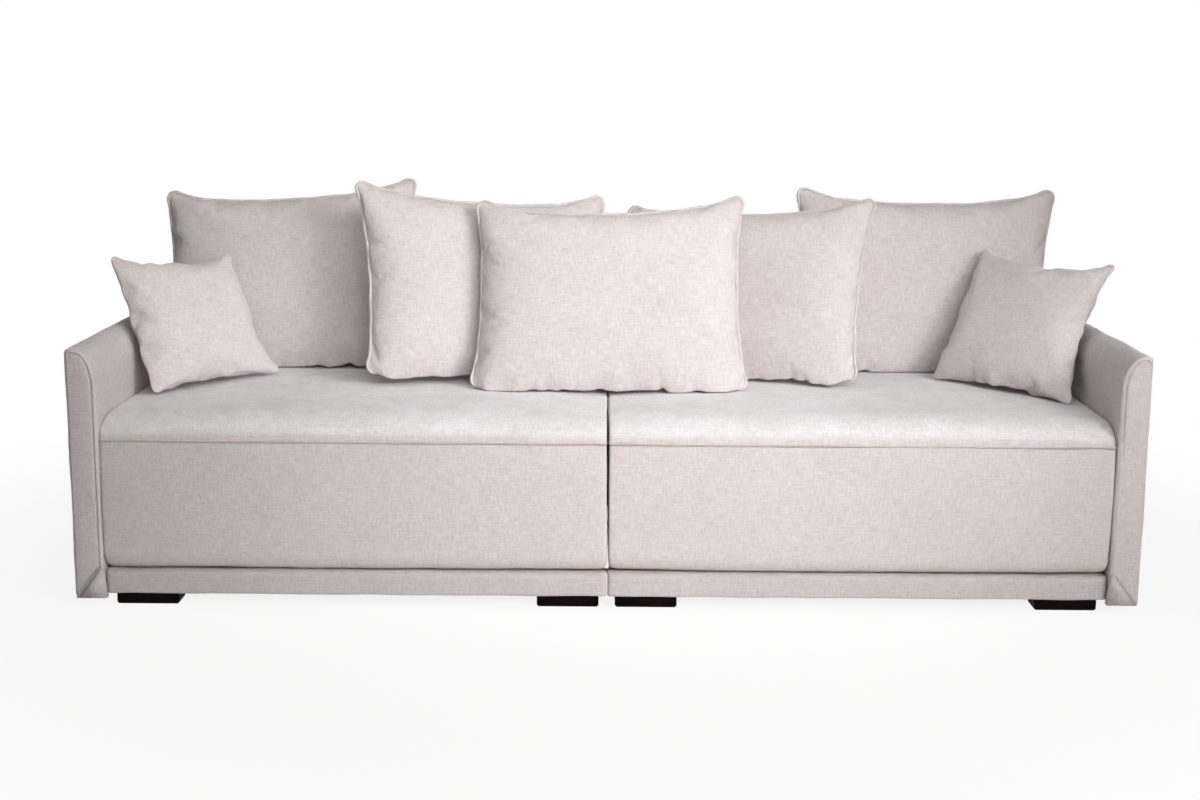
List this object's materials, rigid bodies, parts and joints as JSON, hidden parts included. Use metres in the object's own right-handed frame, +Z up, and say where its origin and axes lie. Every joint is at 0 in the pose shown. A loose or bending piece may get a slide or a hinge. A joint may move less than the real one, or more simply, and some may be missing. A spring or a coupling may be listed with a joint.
{
  "type": "sofa bed",
  "caption": "Straight two-module sofa bed with slim arms, deep box seats that slide as the backs fold flat, loose piped back cushions and small corner cushions.",
  "frame": {"origin": "centre of the footprint, on the floor", "axes": "+X to the right seen from the front, +Y to the back, +Z up"},
  "size_m": [2.6, 0.98, 0.9948],
  "materials": {
    "sofa_fabric": "soft chenille weave with a light nap",
    "cushion_fabric": "soft chenille weave with a light nap",
    "dark_foot": "dark stained, satin lacquer",
    "frame_timber": "raw softwood and plywood",
    "slat_wood": "laminated birch",
    "painted_steel": "grey powder coat",
    "zinc_steel": "bright zinc plate"
  },
  "bodies": {
    "carcass": {"arm_left": "sofa_fabric", "arm_bolts_left": "zinc_steel", "base_frame_left": "frame_timber", "plinth_left": "sofa_fabric", "feet_left": "dark_foot", "rear_panel_left": "sofa_fabric", "hinge_brackets_left": "painted_steel", "hinge_pins_left": "zinc_steel", "runner_outer_left": "zinc_steel", "arm_right": "sofa_fabric", "arm_bolts_right": "zinc_steel", "base_frame_right": "frame_timber", "plinth_right": "sofa_fabric", "feet_right": "dark_foot", "rear_panel_right": "sofa_fabric", "hinge_brackets_right": "painted_steel", "hinge_pins_right": "zinc_steel", "runner_outer_right": "zinc_steel", "module_connectors": "zinc_steel"},
    "seat_left": {"seat_block_left": "sofa_fabric", "seat_frame_left": "frame_timber", "seat_slats_left": "slat_wood", "runner_inner_left": "zinc_steel"},
    "back_left": {"back_pad_left": "sofa_fabric", "back_plates_left": "painted_steel"},
    "seat_right": {"seat_block_right": "sofa_fabric", "seat_frame_right": "frame_timber", "seat_slats_right": "slat_wood", "runner_inner_right": "zinc_steel"},
    "back_right": {"back_pad_right": "sofa_fabric", "back_plates_right": "painted_steel"},
    "cushion_far_left_body": {"cushion_far_left": "cushion_fabric"},
    "cushion_mid_left_body": {"cushion_mid_left": "cushion_fabric"},
    "cushion_centre_body": {"cushion_centre": "cushion_fabric"},
    "cushion_mid_right_body": {"cushion_mid_right": "cushion_fabric"},
    "cushion_far_right_body": {"cushion_far_right": "cushion_fabric"},
    "small_cushion_left_body": {"small_cushion_left": "cushion_fabric"},
    "small_cushion_right_body": {"small_cushion_right": "cushion_fabric"}
  },
  "joints": [
    {"name": "seat_slide_left", "type": "slide", "parent": "carcass", "child": "seat_left", "axis": [0, -1, 0], "range_m": [0, 0.1415]},
    {"name": "back_fold_left", "type": "hinge", "parent": "carcass", "child": "back_left", "pos_m": [0, 0.34, 0.464], "axis": [-1, 0, 0], "range_deg": [0, 90]},
    {"name": "seat_slide_right", "type": "slide", "parent": "carcass", "child": "seat_right", "axis": [0, -1, 0], "range_m": [0, 0.1415]},
    {"name": "back_fold_right", "type": "hinge", "parent": "carcass", "child": "back_right", "pos_m": [0, 0.34, 0.464], "axis": [-1, 0, 0], "range_deg": [0, 90]},
    {"name": "cushion_far_left_lift", "type": "slide", "parent": "carcass", "child": "cushion_far_left_body", "axis": [0, 0.2588, 0.9659], "range_m": [0, 0.55]},
    {"name": "cushion_mid_left_lift", "type": "slide", "parent": "carcass", "child": "cushion_mid_left_body", "axis": [-0.122, 0.3019, 0.9455], "range_m": [0, 0.55]},
    {"name": "cushion_centre_lift", "type": "slide", "parent": "carcass", "child": "cushion_centre_body", "axis": [0, 0.342, 0.9397], "range_m": [0, 0.55]},
    {"name": "cushion_mid_right_lift", "type": "slide", "parent": "carcass", "child": "cushion_mid_right_body", "axis": [0.1033, 0.2556, 0.9613], "range_m": [0, 0.55]},
    {"name": "cushion_far_right_lift", "type": "slide", "parent": "carcass", "child": "cushion_far_right_body", "axis": [0, 0.2588, 0.9659], "range_m": [0, 0.55]},
    {"name": "small_cushion_left_lift", "type": "slide", "parent": "carcass", "child": "small_cushion_left_body", "axis": [0, 0, 1], "range_m": [0, 0.45]},
    {"name": "small_cushion_right_lift", "type": "slide", "parent": "carcass", "child": "small_cushion_right_body", "axis": [0, 0, 1], "range_m": [0, 0.45]}
  ],
  "couplings": [
    {"joint": "back_fold_left", "follows": "seat_slide_left", "rad_per_m": 11.1},
    {"joint": "back_fold_right", "follows": "seat_slide_right", "rad_per_m": 11.1}
  ]
}
